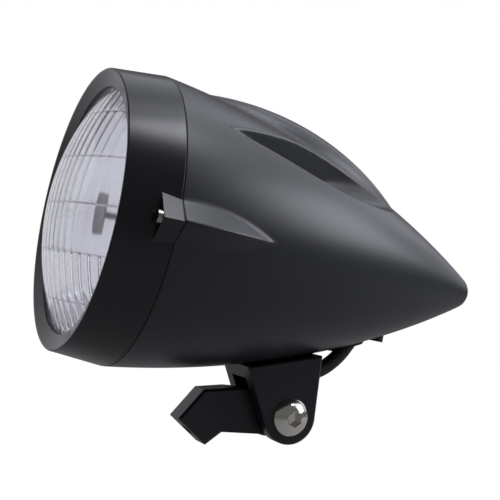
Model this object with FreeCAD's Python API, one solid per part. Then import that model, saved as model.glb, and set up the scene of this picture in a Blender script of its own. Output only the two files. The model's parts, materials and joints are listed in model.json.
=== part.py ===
import FreeCAD
import Part
import math
import os

from FreeCAD import Vector

# A bullet-shaped motorcycle headlight on a clevis, with a short arm that bolts to the fork.
# Millimetres, +Z up, the lens looks along -Y and +X is the side with the pivot bolt's head.
# The origin is the middle of the threaded hole in the arm's slanted seat.
# Lamp pieces are drawn on the lamp's own axis: Y runs back from the rim's front plane, Z is up.

# Clearances
FIT_GAP = 0.15                  # between pieces that slide together
CUT_CLEAR = 1.0                 # how far a cutter reaches past what it cuts

# Trim ring and shell
LENS_OPENING_RADIUS = 71.0      # clear opening in the ring's lip
LENS_FLANGE_WIDTH = 4.6         # lens flange under the lip
RING_FRONT_WALL = 5.25          # ring outside the lens flange, at the front plane
RING_TAPER = 3.4                # growth of the ring's radius from the front plane to the seam
RING_LENGTH = 31.0              # front plane to the seam
RING_WALL = 4.6                 # ring outside the shell's spigot
RING_LIP = 4.0                  # thickness of the lip over the lens
LIP_BEVEL_DEPTH = 3.0           # slope of the lip's face towards the lens
LIP_BEVEL_WIDTH = 8.4
SEAM_CHAMFER = 0.45             # each side of the seam line
SPIGOT_LENGTH = 7.0             # register of the shell inside the ring
SHELL_SIDE_RADIUS = 560.0       # arc of the shell's flank
SHELL_SEAM_SLOPE = 5.8          # degrees, flank against the axis at the seam
NOSE_RADIUS = 11.4
SHELL_WALL = 4.0

# Dorsal spine: an arc turned about its chord, on the top line of the shell
SPINE_FRONT_Y = 55.0
SPINE_FRONT_LIFT = -0.44        # chord's front end over the shell's skin
SPINE_REAR_Y = 200.0
SPINE_REAR_LIFT = 2.18
SPINE_HEIGHT = 15.9             # height of the arc over its chord

# Scoops: a cone that runs out into a cylinder, one each side of the spine
SCOOP_TIP_Y = 58.7              # the tip lies on the skin
SCOOP_TIP_TURN = 44.6           # degrees from the top line
SCOOP_MID_Y = 137.0
SCOOP_MID_TURN = 35.0
SCOOP_MID_LIFT = 9.37           # axis over the skin
SCOOP_RADIUS = 22.8
SCOOP_CONE_ANGLE = 15.7         # degrees, half angle
SCOOP_END_Y = 230.0

# Side spears: a gable on the ring that tapers off along the shell
SPEAR_RISE = 9.2                # ridge over the seam
SPEAR_FRONT_Y = 20.0
SPEAR_BEND_Y = 60.0
SPEAR_BEND_RISE = 8.11          # ridge over the skin at the bend
SPEAR_TIP_Y = 89.5
SPEAR_SLOPE = 0.9               # sideways fall of each facet for one of height
SPEAR_DEPTH = 16.0              # height of each facet's prism
RING_SCREW_INSET = 5.2          # ring screw under the ridge
RING_SCREW_RADIUS = 2.0
RING_SCREW_HEAD_RADIUS = 3.6
RING_SCREW_HEAD = 2.6
RING_SCREW_REACH = 24.0
RING_SCREW_KEY = 3.0            # across flats of the socket
RING_SCREW_KEY_DEPTH = 1.8

# Lamp unit
LENS_BULGE = 19.0               # dome over its flange's front plane
LENS_GLASS = 3.6
LENS_FLANGE = 3.0
GASKET = 1.6
REFLECTOR_FOCUS = 21.0
REFLECTOR_SHEET = 1.2
REFLECTOR_SKIN = 1.7            # bowl's wall square to the axis
REFLECTOR_THROAT = 20.5         # hole for the bulb
REFLECTOR_STATIONS = 10         # points along the bowl's curve
COLLAR_WALL = 4.0               # collar round the throat
COLLAR_LAP = 4.0                # collar in front of the throat
COLLAR_LENGTH = 3.2             # collar behind the throat
RETAINER_WIDTH = 2.4
RETAINER_THICKNESS = 2.6
FLUTE_PITCH = 8.0               # ribs moulded on the inside of the lens
FLUTE_WIDTH = 4.4
FLUTE_DEPTH = 0.9

# Bulb and its fittings
BULB_RADIUS = 8.4
BULB_LENGTH = 34.0
BULB_BASE_RADIUS = 24.0
BULB_BASE = 3.0
BULB_STUB = 4.0                 # cap inside the throat
SHADE_RADIUS = 12.5
SHADE_GAP = 3.0                 # shade in front of the bulb's tip
SHADE_LENGTH = 20.0
SHADE_SHEET = 1.0
SHADE_LEG_RADIUS = 1.1
SHADE_LEG_START = 4.0           # behind the shade's front
SHADE_LEG_SINK = 0.2            # weld into the shade
CLIP_WIRE_RADIUS = 0.9
CLIP_INSET = 5.0                # hoop inside the cap's edge
BOOT_LAP = 0.8                  # boot in front of the throat
BOOT_SHOULDER = 4.0             # straight part behind the cap
BOOT_LENGTH = 24.0
BOOT_ROOM = 3.8                 # round the bulb's cap
BOOT_NECK_RADIUS = 15.0
BOOT_WALL = 2.2
PLUG_WIDTH = 24.0
PLUG_HEIGHT = 20.0
PLUG_LENGTH = 22.0
PLUG_EDGE = 1.5
PLUG_STAND = 2.5                # plug behind the cap
BLADE_WIDTH = 8.0
BLADE_THICKNESS = 0.8
BLADE_LENGTH = 12.0
BLADE_GAP = 0.05                # round each blade in the plug
BLADE_UP = 6.0                  # flat blade over the axis
BLADE_SIDE = 7.0                # upright blades beside the axis
BLADE_DOWN = 2.0                # and below it

# Pivot bracket
SEAT_Y = 137.0                  # middle of the bracket's seat on the shell
SEAT_FLAT = 0.6                 # depth of the flat on the shell's underside
EAR_DROP = 33.5                 # seat to the pivot axis
EAR_THICKNESS = 10.0
EAR_HALF_WIDTH = 24.3           # at the seat
EAR_END_RADIUS = 16.4
WEB_THICKNESS = 8.0
BRACKET_EDGE = 1.0
BRACKET_SCREW_RADIUS = 3.0
BRACKET_SCREW_SPACING = 22.0
BRACKET_SCREW_HEAD_RADIUS = 5.0
BRACKET_SCREW_HEAD = 6.0
BRACKET_SCREW_KEY = 5.0
BRACKET_SCREW_KEY_DEPTH = 3.0
SPOT_FACE_DEPTH = 1.0           # washer seats inside the shell
SPOT_FACE_GAP = 0.5
BRACKET_WASHER_RADIUS = 6.5
BRACKET_WASHER = 1.4

# Pivot
PIVOT_RADIUS = 6.35             # shank of the pivot bolt
PIVOT_RUNNING_GAP = 0.06        # between the shank and the arm's bore
PIVOT_HOLE_GAP = 0.2            # between the shank and the ears' holes
PIVOT_HEAD_RADIUS = 11.1
PIVOT_HEAD = 6.2
PIVOT_HEAD_RIM = 1.2
PIVOT_CROWN_RADIUS = 6.1        # flat round the socket
PIVOT_DOME_SAG = 1.7            # bulge of the head between rim and crown
PIVOT_KEY = 7.94                # across flats of the socket
PIVOT_KEY_DEPTH = 4.4
SIDE_WASHER_RADIUS = 12.0
SIDE_WASHER = 1.5
FACE_GAP = 0.3                  # between the arm and the pieces that turn on it
NUT_FLATS = 19.0
NUT_HEIGHT = 11.0
NUT_COLLAR = 3.6
NUT_COLLAR_RADIUS = 8.2
NUT_WASHER_RADIUS = 12.5
NUT_WASHER = 2.0
BOLT_PAST_NUT = 3.0

# Mount arm
ARM_WIDTH = 17.5
ARM_SEAT_LENGTH = 23.4          # slanted seat from its upper tip to its lower tip
ARM_BROW_LENGTH = 22.6          # slanted face above the seat
ARM_PIVOT_Y = 57.5              # pivot from the middle of the seat
ARM_PIVOT_Z = 6.4
ARM_END_RADIUS = 12.5
ARM_HEEL_Y = 19.0               # where the lower edge leaves the seat's corner
ARM_HEEL_Z = -1.4
ARM_SHOULDER_Y = 25.0           # where the top edge turns down to the pivot
ARM_EDGE = 1.4
MOUNT_HOLE_RADIUS = 4.0         # tapping bore
MOUNT_HOLE_DEPTH = 17.0
LENS_UP = 12.2                  # degrees, lens above level at rest

# Cable and plug
LOOM_RADIUS = 4.6
LOOM_ROUTE = [(64.0, 48.4), (54.2, 37.4), (44.0, 27.6), (31.5, 21.2), (17.0, 20.4)]  # bracket frame
LOOM_ARC_SHARE = 0.45           # of the shorter run, on each side of a bend
GROMMET_WALL = 2.2
GROMMET_FLANGE = 1.0
GROMMET_BORE_GAP = 0.05
GROMMET_STAND = 1.6             # flange over the shell's skin, and the same inside
JOINT_RADIUS = 4.8
JOINT_LENGTH = 18.0
JOINT_EDGE = 0.8
LEAD_COUNT = 3
LEAD_RADIUS = 1.3
LEAD_SPREAD = 2.9
LEAD_PULL = 0.45                # of the leads' span, straight out of each end
DRAIN_Y = 204.8
DRAIN_RADIUS = 3.2
DRAIN_HEAD_RADIUS = 4.8
DRAIN_HEAD = 3.2
DRAIN_TAIL = 2.0                # stem inside the shell

X_AXIS = Vector(1, 0, 0)
Y_AXIS = Vector(0, 1, 0)
Z_AXIS = Vector(0, 0, 1)
ORIGIN = Vector(0, 0, 0)

# Radii that follow from the lens opening
lens_flange_radius = LENS_OPENING_RADIUS + LENS_FLANGE_WIDTH
bore_radius = lens_flange_radius + FIT_GAP
ring_front_radius = bore_radius + RING_FRONT_WALL
seam_radius = ring_front_radius + RING_TAPER
spigot_bore = seam_radius - RING_WALL
spigot_radius = spigot_bore - FIT_GAP
spear_ridge = seam_radius + SPEAR_RISE
ring_screw_out = spear_ridge - RING_SCREW_INSET


def turned(outline):
    """Solid of revolution about the lamp's axis from (y, radius) corners."""
    corners = [Vector(0, y, radius) for y, radius in outline]
    face = Part.Face(Part.makePolygon(corners + corners[:1]))
    return face.revolve(ORIGIN, Y_AXIS, 360)


def turned_edges(edges):
    """Solid of revolution about the lamp's axis from a closed set of edges."""
    return Part.Face(Part.Wire(edges)).revolve(ORIGIN, Y_AXIS, 360)


def bar(start, end, radius):
    """Round bar between two points."""
    return Part.makeCylinder(radius, (end - start).Length, start, end - start)


def hexagon(across, length, start, direction):
    """Hexagonal prism along a direction."""
    corners = []
    for step in range(7):
        angle = math.radians(60 * step)
        corners.append(Vector(math.cos(angle), math.sin(angle), 0) * (across / math.sqrt(3)))
    prism = Part.Face(Part.makePolygon(corners)).extrude(Vector(0, 0, length))
    prism.Placement = FreeCAD.Placement(start, FreeCAD.Rotation(Z_AXIS, direction))
    return prism


def both_sides(shape):
    """A piece and its mirror image across the lamp's middle plane."""
    return [shape, shape.mirror(ORIGIN, X_AXIS)]


def flank(offset):
    """Centre and radius of the shell's flank arc and nose arc, moved outwards by the offset."""
    slope = math.radians(SHELL_SEAM_SLOPE)
    centre_y = RING_LENGTH - SHELL_SIDE_RADIUS * math.sin(slope)
    centre_r = seam_radius - SHELL_SIDE_RADIUS * math.cos(slope)
    reach = math.sqrt((SHELL_SIDE_RADIUS - NOSE_RADIUS) ** 2 - centre_r ** 2)
    return centre_y, centre_r, SHELL_SIDE_RADIUS + offset, centre_y + reach, NOSE_RADIUS + offset


def shell_radius(y, offset=0.0):
    centre_y, centre_r, radius, _, _ = flank(offset)
    return centre_r + math.sqrt(radius ** 2 - (y - centre_y) ** 2)


def shell_slope(y):
    """Angle between the flank and the lamp's axis, in degrees."""
    centre_y, _, radius, _, _ = flank(0.0)
    return math.degrees(math.asin((y - centre_y) / radius))


def on_skin(y, turn, lift):
    """Point over the plain bullet's skin, at an angle in degrees from the top line."""
    radius = shell_radius(y) + lift
    return Vector(radius * math.sin(math.radians(turn)), y, radius * math.cos(math.radians(turn)))


def bullet(offset, front_y):
    """Solid bullet from a front plane to the nose."""
    centre_y, centre_r, radius, nose_y, nose_radius = flank(offset)
    lean = math.atan2(-centre_r, nose_y - centre_y)
    front = Vector(0, front_y, shell_radius(front_y, offset))
    middle_y = (front_y + nose_y) / 2
    middle = Vector(0, middle_y, shell_radius(middle_y, offset))
    join = Vector(0, nose_y + nose_radius * math.cos(lean), nose_radius * math.sin(lean))
    half = lean / 2
    crown = Vector(0, nose_y + nose_radius * math.cos(half), nose_radius * math.sin(half))
    tip = Vector(0, nose_y + nose_radius, 0)
    foot = Vector(0, front_y, 0)
    return turned_edges([
        Part.LineSegment(foot, front).toShape(),
        Part.Arc(front, middle, join).toBSpline().toShape(),
        Part.Arc(join, crown, tip).toShape(),
        Part.LineSegment(tip, foot).toShape(),
    ])


def spine(inset):
    """Spindle along the top line, thinner by the inset."""
    front = on_skin(SPINE_FRONT_Y, 0, SPINE_FRONT_LIFT)
    rear = on_skin(SPINE_REAR_Y, 0, SPINE_REAR_LIFT)
    chord = rear - front
    lift = Vector(0, -chord.z, chord.y).normalize()
    half = chord.Length / 2
    radius = (half ** 2 + SPINE_HEIGHT ** 2) / (2 * SPINE_HEIGHT)
    height = SPINE_HEIGHT - inset
    reach = math.sqrt(height * (2 * (radius - inset) - height))
    along = Vector(chord).normalize()
    middle = front + chord * 0.5
    start, end = middle - along * reach, middle + along * reach
    outline = Part.Wire([
        Part.Arc(start, middle + lift * height, end).toBSpline().toShape(),
        Part.LineSegment(end, start).toShape(),
    ])
    return Part.Face(outline).revolve(start, along, 360)


def scoop(growth):
    """Cutter of the near scoop, larger by the growth all round."""
    tip = on_skin(SCOOP_TIP_Y, SCOOP_TIP_TURN, 0)
    along = (on_skin(SCOOP_MID_Y, SCOOP_MID_TURN, SCOOP_MID_LIFT) - tip).normalize()
    angle = math.radians(SCOOP_CONE_ANGLE)
    radius = SCOOP_RADIUS + growth
    apex = tip - along * (growth / math.sin(angle))
    cone_length = radius / math.tan(angle)
    length = (SCOOP_END_Y - apex.y) / along.y
    side = Vector(along.y, -along.x, 0).normalize()
    corners = [apex, apex + along * cone_length + side * radius, apex + along * length + side * radius,
               apex + along * length, apex]
    return Part.Face(Part.makePolygon(corners)).revolve(apex, along, 360)


def spear(start_y, end_y):
    """Gable on the near side between two stations: a straight ridge on the ring, a curved one behind."""
    inner = LENS_OPENING_RADIUS - SPEAR_DEPTH
    tip = Vector(shell_radius(SPEAR_TIP_Y), SPEAR_TIP_Y, 0)
    seam = Vector(spear_ridge, RING_LENGTH, 0)
    bend = Vector(shell_radius(SPEAR_BEND_Y) + SPEAR_BEND_RISE, SPEAR_BEND_Y, 0)
    if end_y <= RING_LENGTH:
        front = Vector(spear_ridge, start_y, 0)
        ridge = [Part.LineSegment(front, seam).toShape()]
        last = seam
    else:
        front = seam
        ridge = [Part.Arc(seam, bend, tip).toShape()]
        last = tip
    corners = [last, Vector(inner, last.y, 0), Vector(inner, front.y, 0), front]
    edges = ridge + [Part.makeLine(a, b) for a, b in zip(corners, corners[1:])]
    face = Part.Face(Part.Wire(edges))
    upper = face.extrude(Vector(-SPEAR_SLOPE * SPEAR_DEPTH, 0, SPEAR_DEPTH))
    lower = face.extrude(Vector(-SPEAR_SLOPE * SPEAR_DEPTH, 0, -SPEAR_DEPTH))
    return upper.fuse(lower)


def ring_screw_line(start_y, end_y, radius):
    return bar(Vector(ring_screw_out, start_y, 0), Vector(ring_screw_out, end_y, 0), radius)


# Places that follow from the sizes above
lens_front = RING_LIP + GASKET
lens_back = lens_front + LENS_FLANGE
reflector_back = lens_back + REFLECTOR_SHEET
retainer_back = reflector_back + RETAINER_THICKNESS
throat_y = lens_back + (LENS_OPENING_RADIUS ** 2 - REFLECTOR_THROAT ** 2) / (4 * REFLECTOR_FOCUS)
base_y = throat_y + COLLAR_LENGTH
collar_radius = REFLECTOR_THROAT + COLLAR_WALL
plug_front = base_y + BULB_BASE + PLUG_STAND
bulb_back = base_y - BULB_STUB
shade_front = bulb_back - BULB_LENGTH - SHADE_GAP
half_gap = ARM_WIDTH / 2 + FACE_GAP + SIDE_WASHER
half_bracket = half_gap + EAR_THICKNESS
seat_slope = shell_slope(SEAT_Y)
seat_normal = Vector(0, math.sin(math.radians(seat_slope)), -math.cos(math.radians(seat_slope)))
seat_point = Vector(0, SEAT_Y, -shell_radius(SEAT_Y)) - seat_normal * SEAT_FLAT
pivot_in_lamp = seat_point + seat_normal * EAR_DROP
pivot_in_part = Vector(0, ARM_PIVOT_Y, ARM_PIVOT_Z)


def set_bracket(shape):
    """Moves a shape from the bracket's frame (pivot at its origin, seat level) to the lamp's."""
    placed = shape.copy()
    placed.rotate(ORIGIN, X_AXIS, seat_slope)
    placed.translate(pivot_in_lamp)
    return placed


def set_lamp(shape):
    """Moves a shape from the lamp's axis to the part's frame, tilted about the pivot."""
    placed = shape.copy()
    placed.translate(-pivot_in_lamp)
    placed.rotate(ORIGIN, X_AXIS, -LENS_UP)
    placed.translate(pivot_in_part)
    return placed


def loom_path():
    """Cable's route in the lamp's frame: straight runs joined by tangent arcs."""
    points = []
    for along, up in LOOM_ROUTE:
        points.append(set_bracket(Part.Vertex(0, along, up)).Point)
    edges = []
    last = points[0]
    for before, corner, after in zip(points, points[1:], points[2:]):
        into = (corner - before).normalize()
        away = (after - corner).normalize()
        turn = into.getAngle(away)
        cut = LOOM_ARC_SHARE * min((corner - before).Length, (after - corner).Length)
        radius = cut / math.tan(turn / 2)
        start, end = corner - into * cut, corner + away * cut
        inward = (away - into).normalize()
        middle = corner + inward * (radius / math.cos(turn / 2) - radius)
        edges.append(Part.LineSegment(last, start).toShape())
        edges.append(Part.Arc(start, middle, end).toShape())
        print("cable bend radius", round(radius, 1))
        last = end
    edges.append(Part.LineSegment(last, points[-1]).toShape())
    return Part.Wire(edges), points


loom_wire, loom_points = loom_path()
loom_exit = (loom_points[1] - loom_points[0]).normalize()


def screw_stations():
    """Places of the bracket's screws along the seat, in the bracket's frame."""
    return [-BRACKET_SCREW_SPACING / 2, BRACKET_SCREW_SPACING / 2]


def bracket_bore(along, bottom, top, radius):
    """Upright bar in the bracket's frame, set into the lamp's."""
    return set_bracket(bar(Vector(0, along, bottom), Vector(0, along, top), radius))


# Heights in the bracket's frame: washer seat inside the shell, under the screw's head, and over it
spot_face = EAR_DROP + SHELL_WALL + SEAT_FLAT - SPOT_FACE_DEPTH
screw_head = spot_face + BRACKET_WASHER
screw_head_top = screw_head + BRACKET_SCREW_HEAD


def make_shell():
    """Cast bullet with its spine, scoops, spears and spigot, hollowed to an even wall."""
    body = bullet(0.0, RING_LENGTH).fuse(spine(0.0))
    for gable in both_sides(spear(RING_LENGTH, SPEAR_TIP_Y)):
        body = body.fuse(gable)
    for cutter in both_sides(scoop(0.0)):
        body = body.cut(cutter)
    body = body.fuse(turned([
        (RING_LENGTH - SPIGOT_LENGTH, 0), (RING_LENGTH - SPIGOT_LENGTH, spigot_radius),
        (RING_LENGTH + CUT_CLEAR, spigot_radius), (RING_LENGTH + CUT_CLEAR, 0)]))
    hollow = bullet(-SHELL_WALL, RING_LENGTH + SHELL_WALL).fuse(spine(SHELL_WALL))
    for cutter in both_sides(scoop(SHELL_WALL)):
        hollow = hollow.cut(cutter)
    mouth = spigot_radius - SHELL_WALL
    mouth_y = RING_LENGTH + SHELL_WALL
    hollow = hollow.fuse(turned([
        (0, 0), (0, mouth), (mouth_y + CUT_CLEAR, mouth), (mouth_y + CUT_CLEAR, 0)]))
    body = body.cut(hollow)
    seat = Part.makeBox(4 * EAR_HALF_WIDTH, 4 * EAR_HALF_WIDTH, EAR_DROP,
                        Vector(-2 * EAR_HALF_WIDTH, -2 * EAR_HALF_WIDTH, 0))
    body = body.cut(set_bracket(seat))
    washer_room = BRACKET_WASHER_RADIUS + SPOT_FACE_GAP
    for along in screw_stations():
        body = body.cut(bracket_bore(along, 0, screw_head_top, BRACKET_SCREW_RADIUS + FIT_GAP))
        body = body.cut(bracket_bore(along, spot_face, screw_head_top, washer_room))
    body = body.cut(bar(loom_points[0], loom_points[2], LOOM_RADIUS + GROMMET_WALL))
    drain_top = Vector(0, DRAIN_Y, 0)
    drain_out = Vector(0, DRAIN_Y, -2 * shell_radius(DRAIN_Y))
    body = body.cut(bar(drain_top, drain_out, DRAIN_RADIUS))
    for hole in both_sides(ring_screw_line(0, SPEAR_FRONT_Y + RING_SCREW_REACH, RING_SCREW_RADIUS)):
        body = body.cut(hole)
    return body.removeSplitter()


def make_trim_ring():
    """Turned ring with the lip over the lens and a gable at each side for its screw."""
    opening = LENS_OPENING_RADIUS
    body = turned([
        (0, opening), (0, ring_front_radius - SEAM_CHAMFER), (SEAM_CHAMFER, ring_front_radius),
        (RING_LENGTH - SEAM_CHAMFER, seam_radius), (RING_LENGTH, seam_radius - SEAM_CHAMFER),
        (RING_LENGTH, opening)])
    for gable in both_sides(spear(SPEAR_FRONT_Y, RING_LENGTH)):
        body = body.fuse(gable)
    spigot_y = RING_LENGTH - SPIGOT_LENGTH - FIT_GAP
    past_y = RING_LENGTH + CUT_CLEAR
    past_bevel = opening + LIP_BEVEL_WIDTH * (1 + CUT_CLEAR / LIP_BEVEL_DEPTH)
    body = body.cut(turned([
        (-CUT_CLEAR, 0), (-CUT_CLEAR, past_bevel), (LIP_BEVEL_DEPTH, opening),
        (RING_LIP, opening), (RING_LIP, bore_radius), (spigot_y, bore_radius),
        (spigot_y, spigot_bore), (past_y, spigot_bore), (past_y, 0)]))
    for hole in both_sides(ring_screw_line(0, past_y, RING_SCREW_RADIUS + FIT_GAP)):
        body = body.cut(hole)
    return body.removeSplitter()


def make_ring_screws():
    """Socket screws through the gables into the shell."""
    end_y = SPEAR_FRONT_Y + RING_SCREW_REACH
    head_y = SPEAR_FRONT_Y - RING_SCREW_HEAD
    screw = ring_screw_line(head_y, SPEAR_FRONT_Y, RING_SCREW_HEAD_RADIUS)
    screw = screw.fuse(ring_screw_line(SPEAR_FRONT_Y, end_y, RING_SCREW_RADIUS))
    socket = Vector(ring_screw_out, head_y, 0)
    screw = screw.cut(hexagon(RING_SCREW_KEY, RING_SCREW_KEY_DEPTH, socket, Y_AXIS))
    return Part.makeCompound(both_sides(screw))


def dome(offset):
    """Centre and radius of the lens's dome, moved inwards by the offset."""
    edge = LENS_OPENING_RADIUS - FIT_GAP
    radius = (edge ** 2 + LENS_BULGE ** 2) / (2 * LENS_BULGE)
    return lens_front - LENS_BULGE + radius, radius - offset


def cap(offset, edge_y):
    """Solid of the dome in front of a plane."""
    centre_y, radius = dome(offset)
    edge = math.sqrt(radius ** 2 - (centre_y - edge_y) ** 2)
    lean = math.asin(edge / radius) / 2
    top = Vector(0, centre_y - radius, 0)
    middle = Vector(0, centre_y - radius * math.cos(lean), radius * math.sin(lean))
    rim = Vector(0, edge_y, edge)
    foot = Vector(0, edge_y, 0)
    return turned_edges([
        Part.Arc(top, middle, rim).toShape(),
        Part.LineSegment(rim, foot).toShape(),
        Part.LineSegment(foot, top).toShape(),
    ])


def make_lens():
    """Pressed glass: a smooth dome outside, a flange, and upright flutes inside."""
    body = cap(0.0, lens_front)
    body = body.fuse(turned([(lens_front, 0), (lens_front, lens_flange_radius),
                             (lens_back, lens_flange_radius), (lens_back, 0)]))
    body = body.cut(cap(LENS_GLASS, lens_back))
    layer = cap(LENS_GLASS, lens_back).cut(cap(LENS_GLASS + FLUTE_DEPTH, lens_back))
    flute_count = int(2 * LENS_OPENING_RADIUS // FLUTE_PITCH)
    for step in range(flute_count):
        across = (step - (flute_count - 1) / 2) * FLUTE_PITCH
        corner = Vector(across - FLUTE_WIDTH / 2, lens_back - 2 * LENS_BULGE, -lens_flange_radius)
        slab = Part.makeBox(FLUTE_WIDTH, 2 * LENS_BULGE, 2 * lens_flange_radius, corner)
        body = body.fuse(layer.common(slab))
    return body.removeSplitter()


def make_lens_gasket():
    return turned([(RING_LIP, LENS_OPENING_RADIUS), (RING_LIP, lens_flange_radius),
                   (lens_front, lens_flange_radius), (lens_front, LENS_OPENING_RADIUS)])


def paraboloid_radius(y, offset):
    """Inside radius of the bowl at a station, moved outwards by the offset."""
    depth = throat_y - y + REFLECTOR_THROAT ** 2 / (4 * REFLECTOR_FOCUS)
    return math.sqrt(4 * REFLECTOR_FOCUS * depth) + offset


def bowl(offset):
    """Solid inside of the bowl from the lens to the throat, as one smooth turned curve."""
    points = []
    for step in range(REFLECTOR_STATIONS + 1):
        y = lens_back + (throat_y - lens_back) * step / REFLECTOR_STATIONS
        points.append(Vector(0, y, paraboloid_radius(y, offset)))
    curve = Part.BSplineCurve()
    curve.interpolate(points)
    back, front = Vector(0, throat_y, 0), Vector(0, lens_back, 0)
    return turned_edges([
        curve.toShape(),
        Part.makeLine(points[-1], back),
        Part.makeLine(back, front),
        Part.makeLine(front, points[0]),
    ])


def make_reflector():
    """Pressed bowl with a flange behind the lens and a collar for the bulb."""
    collar_y = throat_y - COLLAR_LAP
    flange = turned([(lens_back, 0), (lens_back, lens_flange_radius),
                     (reflector_back, lens_flange_radius), (reflector_back, 0)])
    collar = turned([(collar_y, 0), (collar_y, collar_radius), (base_y, collar_radius), (base_y, 0)])
    body = bowl(REFLECTOR_SKIN).fuse(flange).fuse(collar)
    body = body.cut(bowl(0.0))
    return body.cut(turned([
        (throat_y - CUT_CLEAR, 0), (throat_y - CUT_CLEAR, REFLECTOR_THROAT),
        (base_y + CUT_CLEAR, REFLECTOR_THROAT), (base_y + CUT_CLEAR, 0)]))


def make_retaining_ring():
    inner = lens_flange_radius - RETAINER_WIDTH
    return turned([(reflector_back, inner), (reflector_back, bore_radius), (retainer_back, bore_radius),
                   (retainer_back, inner)])


def make_bulb_base():
    """Flanged metal cap with three blades."""
    body = turned([(base_y, 0), (base_y, BULB_BASE_RADIUS), (base_y + BULB_BASE, BULB_BASE_RADIUS),
                   (base_y + BULB_BASE, 0)])
    stub_radius = REFLECTOR_THROAT - FIT_GAP
    body = body.fuse(turned([(bulb_back, 0), (bulb_back, stub_radius), (base_y, stub_radius), (base_y, 0)]))
    back_y = base_y + BULB_BASE
    for across, up, wide, tall in blade_places():
        corner = Vector(across - wide / 2, back_y, up - tall / 2)
        body = body.fuse(Part.makeBox(wide, BLADE_LENGTH, tall, corner))
    return body


def blade_places():
    """Middle and section of each blade: one flat on top, two upright below."""
    return [(0, BLADE_UP, BLADE_WIDTH, BLADE_THICKNESS),
            (-BLADE_SIDE, -BLADE_DOWN, BLADE_THICKNESS, BLADE_WIDTH),
            (BLADE_SIDE, -BLADE_DOWN, BLADE_THICKNESS, BLADE_WIDTH)]


def make_bulb_glass():
    """Tubular envelope with a rounded tip."""
    tip = Vector(0, bulb_back - BULB_LENGTH + BULB_RADIUS, 0)
    body = bar(tip, Vector(0, bulb_back, 0), BULB_RADIUS)
    return body.fuse(Part.makeSphere(BULB_RADIUS, tip)).removeSplitter()


def make_bulb_shade():
    """Cup in front of the bulb on two legs from the collar."""
    rim_y, floor_y = shade_front + SHADE_LENGTH, shade_front + SHADE_SHEET
    inside = SHADE_RADIUS - SHADE_SHEET
    cup = turned([(shade_front, 0), (shade_front, SHADE_RADIUS), (rim_y, SHADE_RADIUS), (rim_y, inside),
                  (floor_y, inside), (floor_y, 0)])
    out = SHADE_RADIUS + SHADE_LEG_RADIUS - SHADE_LEG_SINK
    start = Vector(out, shade_front + SHADE_LEG_START, 0)
    for leg in both_sides(bar(start, Vector(out, bulb_back, 0), SHADE_LEG_RADIUS)):
        cup = cup.fuse(leg)
    return cup


def make_bulb_clip():
    """Wire hoop that presses the bulb's flange to the reflector."""
    hoop = Part.makeTorus(BULB_BASE_RADIUS - CLIP_INSET, CLIP_WIRE_RADIUS, ORIGIN, Y_AXIS)
    hoop.translate(Vector(0, base_y + BULB_BASE + CLIP_WIRE_RADIUS, 0))
    return hoop


def make_bulb_boot():
    """Rubber cover over the bulb's back."""
    start = throat_y - BOOT_LAP
    end = base_y + BOOT_LENGTH
    cap_back = base_y + BULB_BASE
    inside = BULB_BASE_RADIUS + BOOT_ROOM
    outside = inside + BOOT_WALL
    return turned([
        (start, collar_radius), (start, outside), (cap_back + BOOT_SHOULDER, outside),
        (end, BOOT_NECK_RADIUS + BOOT_WALL), (end, BOOT_NECK_RADIUS), (cap_back + BOOT_WALL, inside),
        (base_y, inside), (base_y, collar_radius)])


def make_bulb_plug():
    """Three-way plug on the blades."""
    body = Part.makeBox(PLUG_WIDTH, PLUG_LENGTH, PLUG_HEIGHT,
                        Vector(-PLUG_WIDTH / 2, plug_front, -PLUG_HEIGHT / 2))
    long_edges = [edge for edge in body.Edges if edge.BoundBox.YLength > PLUG_LENGTH / 2]
    body = body.makeFillet(PLUG_EDGE, long_edges)
    for across, up, wide, tall in blade_places():
        corner = Vector(across - wide / 2 - BLADE_GAP, plug_front - PLUG_STAND, up - tall / 2 - BLADE_GAP)
        body = body.cut(Part.makeBox(wide + 2 * BLADE_GAP, BLADE_LENGTH, tall + 2 * BLADE_GAP, corner))
    return body


def make_bulb_leads():
    """Leads from the plug to the cable's inner end."""
    leads = []
    upright = X_AXIS.cross(loom_exit)
    for number in range(LEAD_COUNT):
        angle = math.radians(90 + 360 * number / LEAD_COUNT)
        across, up = LEAD_SPREAD * math.cos(angle), LEAD_SPREAD * math.sin(angle)
        start = Vector(across, plug_front + PLUG_LENGTH, up)
        end = loom_points[0] + X_AXIS * across + upright * up
        pull = (end - start).Length * LEAD_PULL
        curve = Part.BezierCurve()
        curve.setPoles([start, start + Y_AXIS * pull, end - loom_exit * pull, end])
        path = Part.Wire([curve.toShape()])
        section = Part.Wire([Part.Circle(start, Y_AXIS, LEAD_RADIUS).toShape()])
        leads.append(path.makePipeShell([section], True, False))
    return Part.makeCompound(leads)


def loom_tube(radius):
    """Round tube along the cable's route."""
    section = Part.Wire([Part.Circle(loom_points[0], loom_exit, radius).toShape()])
    return loom_wire.makePipeShell([section], True, False)


def make_cable_joint():
    """Round in-line connector at the cable's end, tucked under the bracket's web."""
    along = (loom_points[-1] - loom_points[-2]).normalize()
    start = loom_points[-1]
    body = bar(start, start + along * JOINT_LENGTH, JOINT_RADIUS)
    rims = [edge for edge in body.Edges if edge.Curve.TypeId == "Part::GeomCircle"]
    return body.makeChamfer(JOINT_EDGE, rims)


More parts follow.
